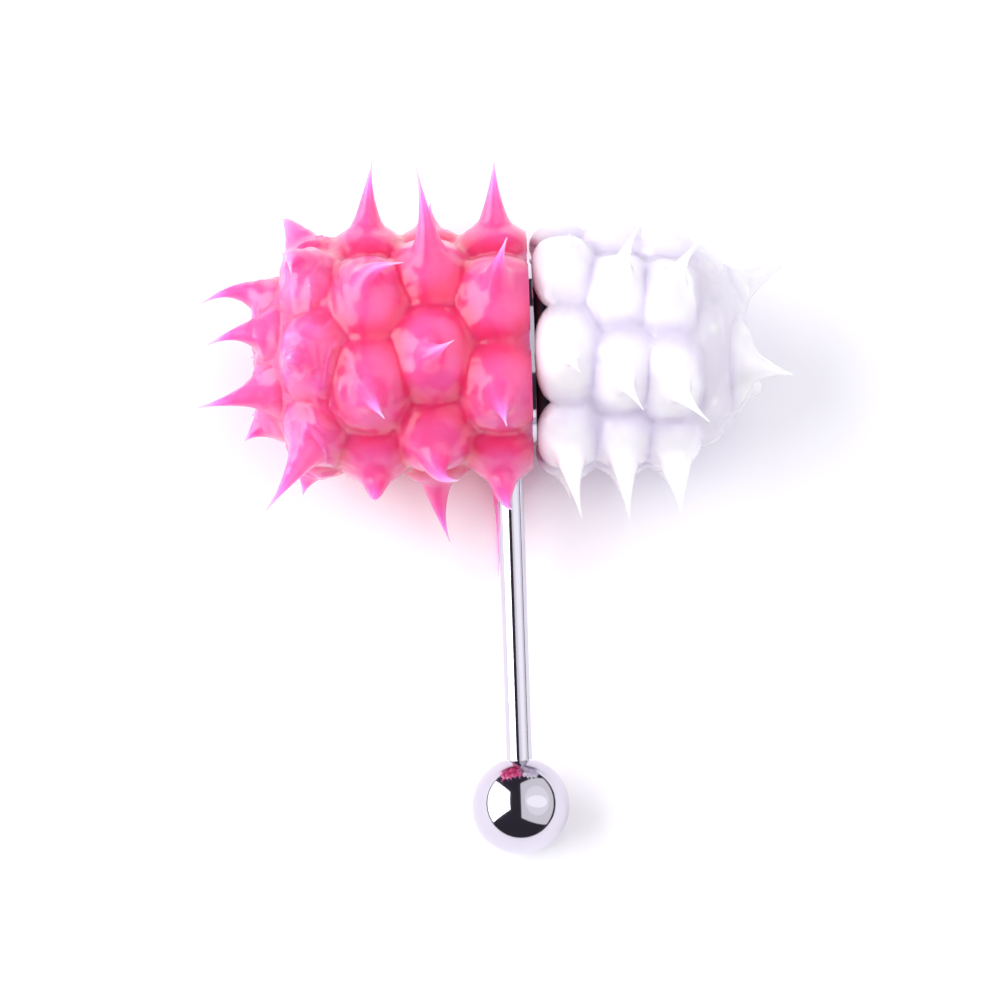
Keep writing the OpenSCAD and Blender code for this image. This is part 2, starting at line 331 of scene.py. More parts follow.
def work_out(tree, known, rows):
    """Adds sums to known. A row is a name, an operation, and numbers or names known by then.

    An operation in capitals takes numbers, one that starts with v takes vectors, and xyz
    makes a vector of three numbers.
    """
    for name, how, *given in rows:
        given = [known[g] if isinstance(g, str) else g for g in given]
        if how == "xyz":
            known[name] = add(tree, "ShaderNodeCombineXYZ", dict(enumerate(given))).outputs[0]
        elif how.startswith("v "):
            places = (0, 3) if how == "v SCALE" else range(len(given))
            made = add(
                tree, "ShaderNodeVectorMath", dict(zip(places, given)), operation=how[2:]
            )
            known[name] = made.outputs[1 if how == "v DOT_PRODUCT" else 0]
        else:
            known[name] = add(
                tree, "ShaderNodeMath", dict(enumerate(given)), operation=how
            ).outputs[0]
    return known


def new_tree(name, inputs, outputs):
    """A geometry node tree with named sockets. Gives the tree, its inputs by name and its end."""
    tree = bpy.data.node_groups.new(name, "GeometryNodeTree")
    for label, kind in inputs:
        tree.interface.new_socket(label, in_out="INPUT", socket_type="NodeSocket" + kind)
    for label, kind in outputs:
        tree.interface.new_socket(label, in_out="OUTPUT", socket_type="NodeSocket" + kind)
    start = tree.nodes.new("NodeGroupInput")
    end = tree.nodes.new("NodeGroupOutput")
    return tree, {label: start.outputs[label] for label, kind in inputs}, end


# Sleeves

OUTLINE_INPUTS = ["Edge", "Way", "Length", "Round", "Flat"]


def outline_tree():
    """Group: a point at a run from the open edge, a turn round the axis and a height above it."""
    names = ["Run", "Turn", "Height"] + OUTLINE_INPUTS
    tree, known, end = new_tree(
        "Sleeve outline",
        [(n, "Float") for n in names],
        [("Point", "Vector"), ("Out", "Vector"), ("Radius", "Float")],
    )
    work_out(
        tree,
        known,
        [
            ("straight", "SUBTRACT", "Length", "Round"),
            ("level", "MINIMUM", "Run", "straight"),
            ("more", "SUBTRACT", "Run", "straight"),
            ("past", "MAXIMUM", "more", 0.0),
            ("arc", "DIVIDE", "past", "Round"),
            ("bend", "MINIMUM", "arc", math.pi / 2),
            ("sin bend", "SINE", "bend"),
            ("cos bend", "COSINE", "bend"),
            ("x run", "MULTIPLY_ADD", "Round", "sin bend", "level"),
            ("x", "MULTIPLY_ADD", "x run", "Way", "Edge"),
            ("full", "MULTIPLY_ADD", "Round", "cos bend", "Flat"),
            ("turned", "MULTIPLY", "bend", "Round"),
            ("on the flat", "SUBTRACT", "past", "turned"),
            ("left", "SUBTRACT", "full", "on the flat"),
            ("radius", "MAXIMUM", "left", 0.0),
            ("sin turn", "SINE", "Turn"),
            ("cos turn", "COSINE", "Turn"),
            ("out x", "MULTIPLY", "Way", "sin bend"),
            ("out y", "MULTIPLY", "cos bend", "sin turn"),
            ("out z", "MULTIPLY", "cos bend", "cos turn"),
            ("out", "xyz", "out x", "out y", "out z"),
            ("y", "MULTIPLY", "radius", "sin turn"),
            ("z", "MULTIPLY", "radius", "cos turn"),
            ("foot", "xyz", "x", "y", "z"),
            ("rise", "v SCALE", "out", "Height"),
            ("point", "v ADD", "foot", "rise"),
        ],
    )
    tree.links.new(known["point"], end.inputs["Point"])
    tree.links.new(known["out"], end.inputs["Out"])
    tree.links.new(known["radius"], end.inputs["Radius"])
    return tree


# What each bump carries, as attributes on its seed
SEED = ["run", "turn", "half", "reach", "rise", "spike", "lean along", "lean round"]
FORM_INPUTS = [
    "Sink",
    "Spike Radius",
    "Draw",
    "Flare",
    "Tip Radius",
    "Floor Gap",
    "Floor Depth",
    "Least Run",
]
def bump_tree(outline):
    """Group: moves a point of a round ball onto a bump that is drawn out to a spike."""
    names = ["Share", "Angle"] + SEED + OUTLINE_INPUTS + FORM_INPUTS
    tree, known, end = new_tree(
        "Bump with spike",
        [(n, "Float") for n in names] + [("Up", "Vector")],
        [("Point", "Vector"), ("Tip", "Float"), ("Valley", "Float")],
    )
    ring = {n: known[n] for n in OUTLINE_INPUTS}
    crest = add(
        tree,
        "GeometryNodeGroup",
        {"Run": known["run"], "Turn": known["turn"], "Height": known["rise"], **ring},
        node_tree=outline,
    )
    known.update({"crest": crest.outputs["Point"], "out": crest.outputs["Out"]})
    known["ring radius"] = crest.outputs["Radius"]
    work_out(
        tree,
        known,
        [
            # How far from the crest, from 0 at the crest to 1 at the bump's edge
            ("down", "DIVIDE", "Share", SKIRT),
            ("e", "MINIMUM", "down", 1.0),
            ("outward", "POWER", "e", CROWDING),
            ("rest", "SUBTRACT", 1.0, "Share"),
            ("inward", "DIVIDE", "rest", 1 - SKIRT),
            ("q", "MINIMUM", "outward", "inward"),
            ("top", "LESS_THAN", "Share", SKIRT + 0.001),
            ("sum", "ADD", "half", "reach"),
            ("mean", "MULTIPLY", "sum", 0.5),
        ],
    )
    known["w"] = add(
        tree,
        "ShaderNodeMapRange",
        {"Value": known["q"], "From Min": 0.15, "From Max": 0.62},
        interpolation_type="SMOOTHSTEP",
    ).outputs[0]
    work_out(
        tree,
        known,
        [
            # A round section near the spike, where w is 0, turns into the bump's own full oval
            ("half more", "SUBTRACT", "half", "mean"),
            ("half q", "MULTIPLY_ADD", "half more", "w", "mean"),
            ("reach more", "SUBTRACT", "reach", "mean"),
            ("reach q", "MULTIPLY_ADD", "reach more", "w", "mean"),
            ("cos", "COSINE", "Angle"),
            ("sin", "SINE", "Angle"),
            ("abs cos", "ABSOLUTE", "cos"),
            ("abs sin", "ABSOLUTE", "sin"),
            ("m", "MULTIPLY_ADD", "w", OVAL_MORE, OVAL_LEAST),
            ("cos m", "POWER", "abs cos", "m"),
            ("sin m", "POWER", "abs sin", "m"),
            ("both m", "ADD", "cos m", "sin m"),
            ("less m", "DIVIDE", -1.0, "m"),
            ("oval", "POWER", "both m", "less m"),
            ("q oval", "MULTIPLY", "q", "oval"),
            ("blunt", "DIVIDE", "e", BLUNT),
            ("blunt 1", "MINIMUM", "blunt", 1.0),
            ("blunt 2", "SQRT", "blunt 1"),
            ("tip", "MULTIPLY", "blunt 2", "Tip Radius"),
            ("r along", "MULTIPLY_ADD", "q oval", "half q", "tip"),
            ("r round", "MULTIPLY_ADD", "q oval", "reach q", "tip"),
            ("a", "MULTIPLY", "r along", "cos"),
            ("b", "MULTIPLY", "r round", "sin"),
            # The cushion: an ellipsoid that follows the sleeve
            ("q p", "POWER", "q", CROWN),
            ("fall", "SUBTRACT", 1.0, "q p"),
            ("fall 0", "MAXIMUM", "fall", 0.0),
            ("crown", "SQRT", "fall 0"),
            ("crown top", "MULTIPLY", "crown", "top"),
            ("whole", "ADD", "rise", "Sink"),
            ("above", "MULTIPLY", "whole", "crown top"),
            ("height", "SUBTRACT", "above", "Sink"),
            ("run a", "MULTIPLY_ADD", "a", "Way", "run"),
            ("run c", "SMOOTH_MAX", "run a", "Least Run", EDGE_ROUND),
            ("turn b", "DIVIDE", "b", "ring radius"),
            ("turn 2", "ADD", "turn", "turn b"),
            # The spike: 1 at its tip, running out softly on the cushion
            ("q mm", "MULTIPLY", "q", "mean"),
            ("x lin", "DIVIDE", "q mm", "Spike Radius"),
            ("x", "POWER", "x lin", "Draw"),
            ("y", "SUBTRACT", 1.0, "x"),
            ("y y", "MULTIPLY", "y", "y"),
            ("k k", "MULTIPLY", "Flare", "Flare"),
            ("y k", "MULTIPLY_ADD", "k k", 4.0, "y y"),
            ("y root", "SQRT", "y k"),
            ("y both", "ADD", "y", "y root"),
            ("g", "MULTIPLY", "y both", 0.5),
            ("g 1", "MINIMUM", "g", 1.0),
            ("u", "MULTIPLY", "g 1", "top"),
            ("v", "SUBTRACT", 1.0, "u"),
            # Its bent centre line
            ("sin round", "SINE", "turn"),
            ("round z", "MULTIPLY", "sin round", -1.0),
            ("round y", "COSINE", "turn"),
            ("round", "xyz", 0.0, "round y", "round z"),
            ("along", "v CROSS_PRODUCT", "round", "out"),
            ("lean a", "v SCALE", "along", "lean along"),
            ("lean o", "v SCALE", "round", "lean round"),
            ("lean", "v ADD", "lean a", "lean o"),
            ("lean 2", "v DOT_PRODUCT", "lean", "lean"),
            ("up 2", "SUBTRACT", 1.0, "lean 2"),
            ("up 20", "MAXIMUM", "up 2", 0.0),
            ("stands", "SQRT", "up 20"),
            ("aim out", "v SCALE", "out", "stands"),
            ("aim", "v ADD", "aim out", "lean"),
            ("u v", "MULTIPLY", "u", "v"),
            ("u u", "MULTIPLY", "u", "u"),
            ("l uv", "MULTIPLY", "u v", "spike"),
            ("l uu", "MULTIPLY", "u u", "spike"),
            ("off 1", "v SCALE", "out", "l uv"),
            ("off 2", "v SCALE", "aim", "l uu"),
            ("off", "v ADD", "off 1", "off 2"),
            ("centre", "v ADD", "crest", "off"),
            # Lifted clear of the floor where it lies down
            ("centre up", "v DOT_PRODUCT", "centre", "Up"),
            ("stands at", "ADD", "centre up", "Floor Depth"),
            ("thick", "ADD", "q mm", "tip"),
            ("thick 1", "MINIMUM", "thick", "Spike Radius"),
            ("needs", "ADD", "thick 1", "Floor Gap"),
            ("short", "SUBTRACT", "needs", "stands at"),
            ("short 0", "MAXIMUM", "short", 0.0),
            ("soft", "MULTIPLY", "u", 3.5),
            ("soft 1", "MINIMUM", "soft", 1.0),
            ("lift", "MULTIPLY", "short 0", "soft 1"),
            ("lifted", "v SCALE", "Up", "lift"),
            # The way that the centre line runs, level where it is lifted
            ("t 1", "MULTIPLY_ADD", "u", -2.0, 1.0),
            ("t 2", "MULTIPLY", "u", 2.0),
            ("way 1", "v SCALE", "out", "t 1"),
            ("way 2", "v SCALE", "aim", "t 2"),
            ("way 3", "v ADD", "way 1", "way 2"),
            ("way up", "v DOT_PRODUCT", "way 3", "Up"),
            ("level 0", "DIVIDE", "lift", -LEVEL_LIFT),
            ("level 1", "MAXIMUM", "level 0", -1.0),
            ("level 2", "MULTIPLY", "level 1", "way up"),
            ("way 4", "v SCALE", "Up", "level 2"),
            ("way 5", "v ADD", "way 3", "way 4"),
            ("way", "v NORMALIZE", "way 5"),
            # Each section turned square to that way
            ("e a", "v SCALE", "along", "a"),
            ("e b", "v SCALE", "round", "b"),
            ("e ab", "v ADD", "e a", "e b"),
            ("e way", "v DOT_PRODUCT", "e ab", "way"),
            ("out way", "v DOT_PRODUCT", "out", "way"),
            ("1 out way", "ADD", "out way", 1.0),
            ("far", "MAXIMUM", "1 out way", 0.2),
            ("turning", "DIVIDE", "e way", "far"),
            ("turning 1", "MULTIPLY", "turning", -1.0),
            ("out and way", "v ADD", "out", "way"),
            ("turned", "v SCALE", "out and way", "turning 1"),
        ],
    )
    cushion = add(
        tree,
        "GeometryNodeGroup",
        {"Run": known["run c"], "Turn": known["turn 2"], "Height": known["height"], **ring},
        node_tree=outline,
    )
    known["cushion"] = cushion.outputs["Point"]
    # How far down a bump's side a point lies: the valley mask, by which the material paints shade
    # between the bumps
    known["edge valley"] = add(
        tree,
        "ShaderNodeMapRange",
        {"Value": known["q"], "From Min": 0.45, "From Max": 0.95},
        interpolation_type="SMOOTHSTEP",
    ).outputs[0]
    work_out(
        tree,
        known,
        [
            # A bump that hardly rises looks like the wall between the bumps
            ("stands up", "DIVIDE", "rise", "Sink"),
            ("sunken", "MULTIPLY_ADD", "stands up", -1.5, 1.2),
            ("sunken 0", "MINIMUM", "sunken", 1.0),
            ("valley", "MAXIMUM", "edge valley", "sunken 0"),
            ("p 1", "v ADD", "cushion", "off"),
            ("p 2", "v ADD", "p 1", "lifted"),
            ("p 3", "v ADD", "p 2", "turned"),
            # Nothing goes through the floor
            ("p up", "v DOT_PRODUCT", "p 3", "Up"),
            ("p high", "ADD", "p up", "Floor Depth"),
            ("p low", "SUBTRACT", OFF_FLOOR, "p high"),
            ("p raise", "MAXIMUM", "p low", 0.0),
            ("p 4", "v SCALE", "Up", "p raise"),
            ("point", "v ADD", "p 3", "p 4"),
        ],
    )
    tree.links.new(known["point"], end.inputs["Point"])
    tree.links.new(known["u"], end.inputs["Tip"])
    tree.links.new(known["valley"], end.inputs["Valley"])
    return tree


def softened(tree, known, mesh):
    """Rounds the creases between bumps, then lets the skin swell unevenly and fold at its end."""
    place = add(tree, "GeometryNodeInputPosition").outputs[0]
    known["normal"] = add(tree, "GeometryNodeInputNormal").outputs[0]
    for label in ("valley", "tip", "not seam"):
        known[label] = add(
            tree, "GeometryNodeInputNamedAttribute", {"Name": label}, data_type="FLOAT"
        ).outputs["Attribute"]
    split = add(tree, "ShaderNodeSeparateXYZ", {0: place})
    known.update({"px": split.outputs[0], "py": split.outputs[1], "pz": split.outputs[2]})
    work_out(
        tree,
        known,
        [
            # Points that the union made carry nothing yet, and all of them lie in a crease
            ("seam", "SUBTRACT", 1.0, "not seam"),
            ("deepest", "MAXIMUM", "valley", "seam"),
            # Nothing moves in the bore, on a spike or at the open edge
            ("py py", "MULTIPLY", "py", "py"),
            ("r r", "MULTIPLY_ADD", "pz", "pz", "py py"),
            ("r", "SQRT", "r r"),
            ("px edge", "SUBTRACT", "px", "Edge"),
            ("from edge", "MULTIPLY", "px edge", "Way"),
            ("wall r", "ADD", "Flat", "Round"),
            ("bore r", "SUBTRACT", "wall r", "Wall"),
            ("clear r", "SUBTRACT", "r", "bore r"),
            ("clear share", "DIVIDE", "clear r", "Wall"),
            ("end x", "SUBTRACT", "Length", "Wall"),
            ("clear end", "SUBTRACT", "from edge", "end x"),
            ("end share", "DIVIDE", "clear end", "Wall"),
            ("outer", "MAXIMUM", "clear share", "end share"),
            # From 0 at 0.3 of the wall's thickness to 1 at 0.8
            ("outer 2", "MULTIPLY_ADD", "outer", 2.0, -0.6),
            ("outer 0", "MAXIMUM", "outer 2", 0.0),
            ("outer 1", "MINIMUM", "outer 0", 1.0),
            ("edge 1", "DIVIDE", "from edge", "Edge Width"),
            ("edge 2", "MAXIMUM", "edge 1", 0.0),
            ("edge 3", "MINIMUM", "edge 2", 1.0),
            # From 1 off the spike to 0 a quarter of the way up it
            ("thick", "MULTIPLY_ADD", "tip", -4.0, 1.0),
            ("thick 0", "MAXIMUM", "thick", 0.0),
            ("free", "MULTIPLY", "outer 1", "edge 3"),
            ("keep", "MULTIPLY", "free", "thick 0"),
            ("soft share", "MULTIPLY", "free", "valley"),
            ("fold place", "v MULTIPLY", place, (1.5, 0.7, 0.9)),
        ],
    )
    # The valley mask, kept for the material, which paints shade in the creases by it
    mesh = add(
        tree,
        "GeometryNodeStoreNamedAttribute",
        {"Geometry": mesh, "Name": "valley", "Value": known["deepest"]},
        data_type="FLOAT",
        domain="POINT",
    ).outputs[0]
    blurred = add(
        tree,
        "GeometryNodeBlurAttribute",
        {"Value": place, "Iterations": known["Softening"], "Weight": known["soft share"]},
        data_type="FLOAT_VECTOR",
    )
    moved = next(socket for socket in blurred.outputs if socket.enabled)
    mesh = add(tree, "GeometryNodeSetPosition", {"Geometry": mesh, "Position": moved}).outputs[0]
    known["swell"] = add(
        tree, "ShaderNodeTexNoise", {"Vector": place, "Scale": apart(2.4), "Detail": 2.0}
    ).outputs[0]
    known["folds"] = add(
        tree,
        "ShaderNodeTexNoise",
        {"Vector": known["fold place"], "Scale": apart(3.8), "Detail": 1.0, "Distortion": 1.2},
    ).outputs[0]
    work_out(
        tree,
        known,
        [
            # A slow swell, and thin ridges where the second noise crosses its middle
            ("swell 0", "SUBTRACT", "swell", 0.5),
            ("swell 1", "MULTIPLY", "swell 0", "Swell"),
            ("fold 0", "SUBTRACT", "folds", 0.5),
            ("fold 1", "ABSOLUTE", "fold 0"),
            ("fold 2", "MULTIPLY_ADD", "fold 1", -9.0, 1.0),
            ("fold 3", "MAXIMUM", "fold 2", 0.0),
            ("fold 4", "POWER", "fold 3", 1.5),
            # Folds from 0.55 of the sleeve's length on, and all of their height from 0.8 on
            ("end 0", "DIVIDE", "from edge", "Length"),
            ("end 1", "MULTIPLY_ADD", "end 0", 4.0, -2.2),
            ("end 2", "MAXIMUM", "end 1", 0.0),
            ("end 3", "MINIMUM", "end 2", 1.0),
            ("fold 5", "MULTIPLY", "fold 4", "end 3"),
            ("both", "MULTIPLY_ADD", "fold 5", "Folds", "swell 1"),
            ("by", "MULTIPLY", "both", "keep"),
            ("offset", "v SCALE", "normal", "by"),
        ],
    )
    return add(
        tree, "GeometryNodeSetPosition", {"Geometry": mesh, "Offset": known["offset"]}
    ).outputs[0]


def sleeve_tree(name, outline, bump, with_post):
    """Tree: a hollow sleeve with a drawn-out bump on each seed, fused into one skin."""
    names = OUTLINE_INPUTS + FORM_INPUTS + ["Wall", "Swell", "Folds", "Edge Width", "Lie"]
    names += ["Hole Radius", "Lip Width", "Lip Height", "Lip Place"]
    tree, known, end = new_tree(
        name,
        [("Geometry", "Geometry")]
        + [(n, "Float") for n in names]
        + [("Up", "Vector"), ("Move", "Vector"), ("Softening", "Int")]
        + [("Material", "Material")],
        [("Geometry", "Geometry")],
    )
    ring = {n: known[n] for n in OUTLINE_INPUTS}
    place = add(tree, "GeometryNodeInputPosition").outputs[0]

    def with_share(mesh):
        """Keeps a ball's share from pole to pole, and its angle, before its shape is changed."""
        split = add(tree, "ShaderNodeSeparateXYZ", {0: place})
        sums = work_out(
            tree,
            {"x": split.outputs[0], "y": split.outputs[1], "z": split.outputs[2]},
            [
                ("z 1", "MINIMUM", "z", 1.0),
                ("z 2", "MAXIMUM", "z 1", -1.0),
                ("polar", "ARCCOSINE", "z 2"),
                ("share", "DIVIDE", "polar", math.pi),
                ("angle", "ARCTAN2", "y", "x"),
            ],
        )
        for label in ("share", "angle"):
            mesh = add(
                tree,
                "GeometryNodeStoreNamedAttribute",
                {"Geometry": mesh, "Name": label, "Value": sums[label]},
                data_type="FLOAT",
                domain="POINT",
            ).outputs[0]
        return mesh

    carried = {
        label: add(
            tree,
            "GeometryNodeInputNamedAttribute",
            {"Name": label},
            data_type="INT" if label == "seed" else "FLOAT",
        ).outputs["Attribute"]
        for label in ["seed", "share", "angle"] + SEED
    }

    # One ball on each seed, moved into the shape of its bump
    ball = add(
        tree,
        "GeometryNodeMeshUVSphere",
        {"Segments": BUMP_ROWS, "Rings": BUMP_ROWS, "Radius": 1.0},
    )
    seeded = add(
        tree,
        "GeometryNodeInstanceOnPoints",
        {"Points": known["Geometry"], "Instance": with_share(ball.outputs["Mesh"])},
    )
    balls = add(tree, "GeometryNodeRealizeInstances", {0: seeded.outputs[0]}).outputs[0]
    form = add(
        tree,
        "GeometryNodeGroup",
        {
            "Share": carried["share"],
            "Angle": carried["angle"],
            **{n: carried[n] for n in SEED},
            **ring,
            **{n: known[n] for n in FORM_INPUTS},
            "Up": known["Up"],
        },
        node_tree=bump,
    )
    for label, value in (
        ("tip", form.outputs["Tip"]),
        ("valley", form.outputs["Valley"]),
        ("not seam", 1.0),
    ):
        balls = add(
            tree,
            "GeometryNodeStoreNamedAttribute",
            {"Geometry": balls, "Name": label, "Value": value},
            data_type="FLOAT",
            domain="POINT",
        ).outputs[0]
    bumps = add(
        tree, "GeometryNodeSetPosition", {"Geometry": balls, "Position": form.outputs["Point"]}
    ).outputs[0]
    pieces = add(
        tree,
        "GeometryNodeSplitToInstances",
        {"Geometry": bumps, "Group ID": carried["seed"]},
    ).outputs["Instances"]

    # The hollow wall: one ball whose upper half is the outside and whose lower half the bore
    wall_ball = add(
        tree,
        "GeometryNodeMeshUVSphere",
        {"Segments": WALL_ROWS, "Rings": WALL_ROWS, "Radius": 1.0},
    )
    sums = work_out(
        tree,
        {"share": carried["share"], "angle": carried["angle"], **known},
        [
            ("quarter", "MULTIPLY", "Round", math.pi / 2),
            ("straight", "SUBTRACT", "Length", "Round"),
            ("bent", "ADD", "straight", "quarter"),
            ("all", "ADD", "bent", "Flat"),
            ("side", "MULTIPLY_ADD", "share", -2.0, 1.0),
            ("from edge", "ABSOLUTE", "side"),
            ("run", "MULTIPLY", "from edge", "all"),
            ("turn", "MULTIPLY", "angle", "Way"),
            ("turn 2", "MULTIPLY", "turn", -1.0),
            ("in bore", "GREATER_THAN", "share", 0.501),
            ("depth", "MULTIPLY", "in bore", "Wall"),
            ("height", "MULTIPLY", "depth", -1.0),
            ("outside", "SUBTRACT", 1.0, "in bore"),
        ],
    )
    skin = add(
        tree,
        "GeometryNodeGroup",
        {"Run": sums["run"], "Turn": sums["turn 2"], "Height": sums["height"], **ring},
        node_tree=outline,
    )
    wall = add(
        tree,
        "GeometryNodeSetPosition",
        {"Geometry": with_share(wall_ball.outputs["Mesh"]), "Position": skin.outputs["Point"]},
    ).outputs[0]
    # The wall's outside takes the whole valley mask, and so the painted shade between the bumps;
    # the bore takes none
    for label, value in (("valley", sums["outside"]), ("not seam", 1.0)):
        wall = add(
            tree,
            "GeometryNodeStoreNamedAttribute",
            {"Geometry": wall, "Name": label, "Value": value},
            data_type="FLOAT",
            domain="POINT",
        ).outputs[0]
    fused = add(tree, "GeometryNodeMeshBoolean", operation="UNION", solver="MANIFOLD")
    tree.links.new(pieces, fused.inputs["Mesh 2"])
    tree.links.new(wall, fused.inputs["Mesh 2"])
    whole = softened(tree, known, fused.outputs["Mesh"])

    if with_post:
        # A soft lip round the post's boss, and the hole through it
        work_out(
            tree,
            known,
            [
                ("lip r", "ADD", "Hole Radius", "Lip Width"),
                ("lip size", "xyz", "lip r", "Lip Height", "lip r"),
                ("lip y", "MULTIPLY", "Lip Place", -1.0),
                ("lip place", "xyz", 0.0, "lip y", 0.0),
                ("hole y", "MULTIPLY", "Lip Place", -1.5),
                ("hole place", "xyz", 0.0, "hole y", 0.0),
                ("parting x", "MULTIPLY_ADD", "Least Run", "Way", "Edge"),
            ],
        )
        lip = add(
            tree, "GeometryNodeMeshUVSphere", {"Segments": 48, "Rings": 24, "Radius": 1.0}
        ).outputs["Mesh"]
        lip = add(
            tree,
            "GeometryNodeTransform",
            {"Geometry": lip, "Translation": known["lip place"], "Scale": known["lip size"]},
        ).outputs[0]
        # The lip stops where the bumps stop, so that the other sleeve can turn past it
        lip_place = add(tree, "ShaderNodeSeparateXYZ", {0: place}).outputs
        stop = add(
            tree, "ShaderNodeMath", {0: lip_place[0], 1: known["parting x"]}, operation="MINIMUM"
        ).outputs[0]
        cut = add(tree, "ShaderNodeCombineXYZ", {0: stop, 1: lip_place[1], 2: lip_place[2]})
        lip = add(
            tree, "GeometryNodeSetPosition", {"Geometry": lip, "Position": cut.outputs[0]}
        ).outputs[0]
        lipped = add(tree, "GeometryNodeMeshBoolean", operation="UNION", solver="MANIFOLD")
        tree.links.new(whole, lipped.inputs["Mesh 2"])
        tree.links.new(lip, lipped.inputs["Mesh 2"])
        hole = add(
            tree,
            "GeometryNodeMeshCylinder",
            {"Vertices": 64, "Radius": known["Hole Radius"], "Depth": known["Lip Place"]},
        ).outputs["Mesh"]
        hole = add(
            tree,
            "GeometryNodeTransform",
            {
                "Geometry": hole,
                "Translation": known["hole place"],
                "Rotation": (math.pi / 2, 0, 0),
            },
        ).outputs[0]
        bore = add(
            tree,
            "GeometryNodeMeshBoolean",
            {"Mesh 1": lipped.outputs["Mesh"]},
            operation="DIFFERENCE",
            solver="MANIFOLD",
        )
        tree.links.new(hole, bore.inputs["Mesh 2"])
        whole = bore.outputs["Mesh"]

    # Laid down on the floor, with soft shading except at sharp edges
    lie = add(tree, "ShaderNodeCombineXYZ", {0: known["Lie"]}).outputs[0]
    whole = add(
        tree,
        "GeometryNodeTransform",
        {"Geometry": whole, "Translation": known["Move"], "Rotation": lie},
    ).outputs[0]
    at = add(tree, "ShaderNodeSeparateXYZ", {0: place}).outputs
    above = add(tree, "ShaderNodeMath", {0: at[2], 1: OFF_FLOOR}, operation="MAXIMUM").outputs[0]
    laid = add(tree, "ShaderNodeCombineXYZ", {0: at[0], 1: at[1], 2: above}).outputs[0]
    whole = add(tree, "GeometryNodeSetPosition", {"Geometry": whole, "Position": laid}).outputs[0]
    whole = add(tree, "GeometryNodeSetShadeSmooth", {"Geometry": whole}).outputs[0]
    angle = add(tree, "GeometryNodeInputMeshEdgeAngle").outputs["Unsigned Angle"]
    crease = add(tree, "ShaderNodeMath", {0: angle, 1: SHARP}, operation="GREATER_THAN").outputs[0]
    whole = add(
        tree,
        "GeometryNodeSetShadeSmooth",
        {"Geometry": whole, "Selection": crease, "Shade Smooth": False},
        domain="EDGE",
    ).outputs[0]
    whole = add(tree, "GeometryNodeRealizeInstances", {0: whole}).outputs[0]
    whole = add(
        tree, "GeometryNodeSetMaterial", {"Geometry": whole, "Material": known["Material"]}
    ).outputs[0]
    tree.links.new(whole, end.inputs[0])
    return tree


def resting_place(sizes):
    """How the object lies: its slope, and where the capsule's axis crosses the post's.

    The ball's box gives the ball, and the capsule rests on its lowest bumps.
    """
    low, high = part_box("ball")
    ball_r = (high[0] - low[0]) / 2
    crest_r = sizes.steel_r + sizes.gap + sizes.wall + sizes.bump_h
    ball_x = (low[0] + high[0]) / 2
    ball_y = low[1] + ball_r
    ball_at = sizes.ball_at
    lie = math.asin((crest_r - ball_r) / ball_at)
    return lie, Vector((ball_x, ball_y + ball_at * math.cos(lie), crest_r))


def seeds(name, sizes, lie, edge, way, length, rings, own_set):
    """A mesh with one point for each bump, which carries that bump's sizes and lean."""
    wall_r = sizes.steel_r + sizes.gap + sizes.wall
    round_r = sizes.end_round + sizes.gap + sizes.wall
    flat_r = wall_r - round_r
    straight = length - round_r
    outline = straight + round_r * math.pi / 2 + flat_r
    down_angle = -math.pi + lie
    up = Vector((0, math.sin(lie), math.cos(lie)))
    rows = []
    uneven = random.Random(name)
    for i, (along, count, start, long, rise, spike) in enumerate(rings):
        run = along * outline
        bend = min(math.pi / 2, max(0, run - straight) / round_r)
        radius = flat_r + round_r * math.cos(bend)
        for k in range(count):
            degrees = start + k * 360 / count
            turn = math.radians(degrees)
            out = Vector(
                (
                    way * math.sin(bend),
                    math.cos(bend) * math.sin(turn),
                    math.cos(bend) * math.cos(turn),
                )
            )
            # Spikes under the sleeve lie down on the floor, and the others lean a little
            down = min(1, max(0, -out.dot(up) - LIE_FROM) / LIE_OVER)
            off = (degrees - math.degrees(down_angle) + 540) % 360 - 180
            drift = DRIFT * (1 - down)
            # Steps in degrees that let no two neighbours lean alike
            lean_x = drift * math.sin(math.radians(137 * k + 60 * i))
            lean_r = drift * math.cos(math.radians(97 * k + 40 * i))
            lean_r += LIE_LEAN * down * (1 if off >= 0 else -1)
            share, lean_x, lean_r = own_set.get((i, k), (1, lean_x, lean_r))
            less = 1 - uneven.uniform(0, UNEVEN_RISE) * (1 - down)
            half = sizes.bump_l / 2 * long * sizes.overlap * uneven.uniform(*UNEVEN_LENGTH)
            reach = radius * math.sin(math.pi / count) * sizes.overlap
            reach *= uneven.uniform(*UNEVEN_WIDTH)
            high = rise * sizes.bump_h * less
            far = share * spike * sizes.spike_l
            rows.append((run, turn, half, reach, high, far, lean_x, lean_r))
    mesh = bpy.data.meshes.new(name)
    mesh.from_pydata([(0, 0, 0)] * len(rows), [], [])
    for column, label in enumerate(SEED):
        mesh.attributes.new(label, "FLOAT", "POINT").data.foreach_set(
            "value", [row[column] for row in rows]
        )
    mesh.attributes.new("seed", "INT", "POINT").data.foreach_set("value", list(range(len(rows))))
    return mesh


def finished(made, tree, values):
    """Runs a tree on an object and puts the result in its place as a plain mesh."""
    modifier = made.modifiers.new(tree.name, "NODES")
    modifier.node_group = tree
    sockets = {s.name: s.identifier for s in tree.interface.items_tree if s.in_out == "INPUT"}
    for name, value in values.items():
        modifier[sockets[name]] = value
    evaluated = made.evaluated_get(bpy.context.evaluated_depsgraph_get())
    mesh = bpy.data.meshes.new_from_object(evaluated)
    made.modifiers.remove(modifier)
    made.data = mesh
    for label in ("share", "angle", "seed", "not seam", *SEED):
        if label in mesh.attributes:
            mesh.attributes.remove(mesh.attributes[label])
    if len(mesh.polygons) < LEAST_FACES:
        raise RuntimeError(f"{made.name} came out with {len(mesh.polygons)} faces")


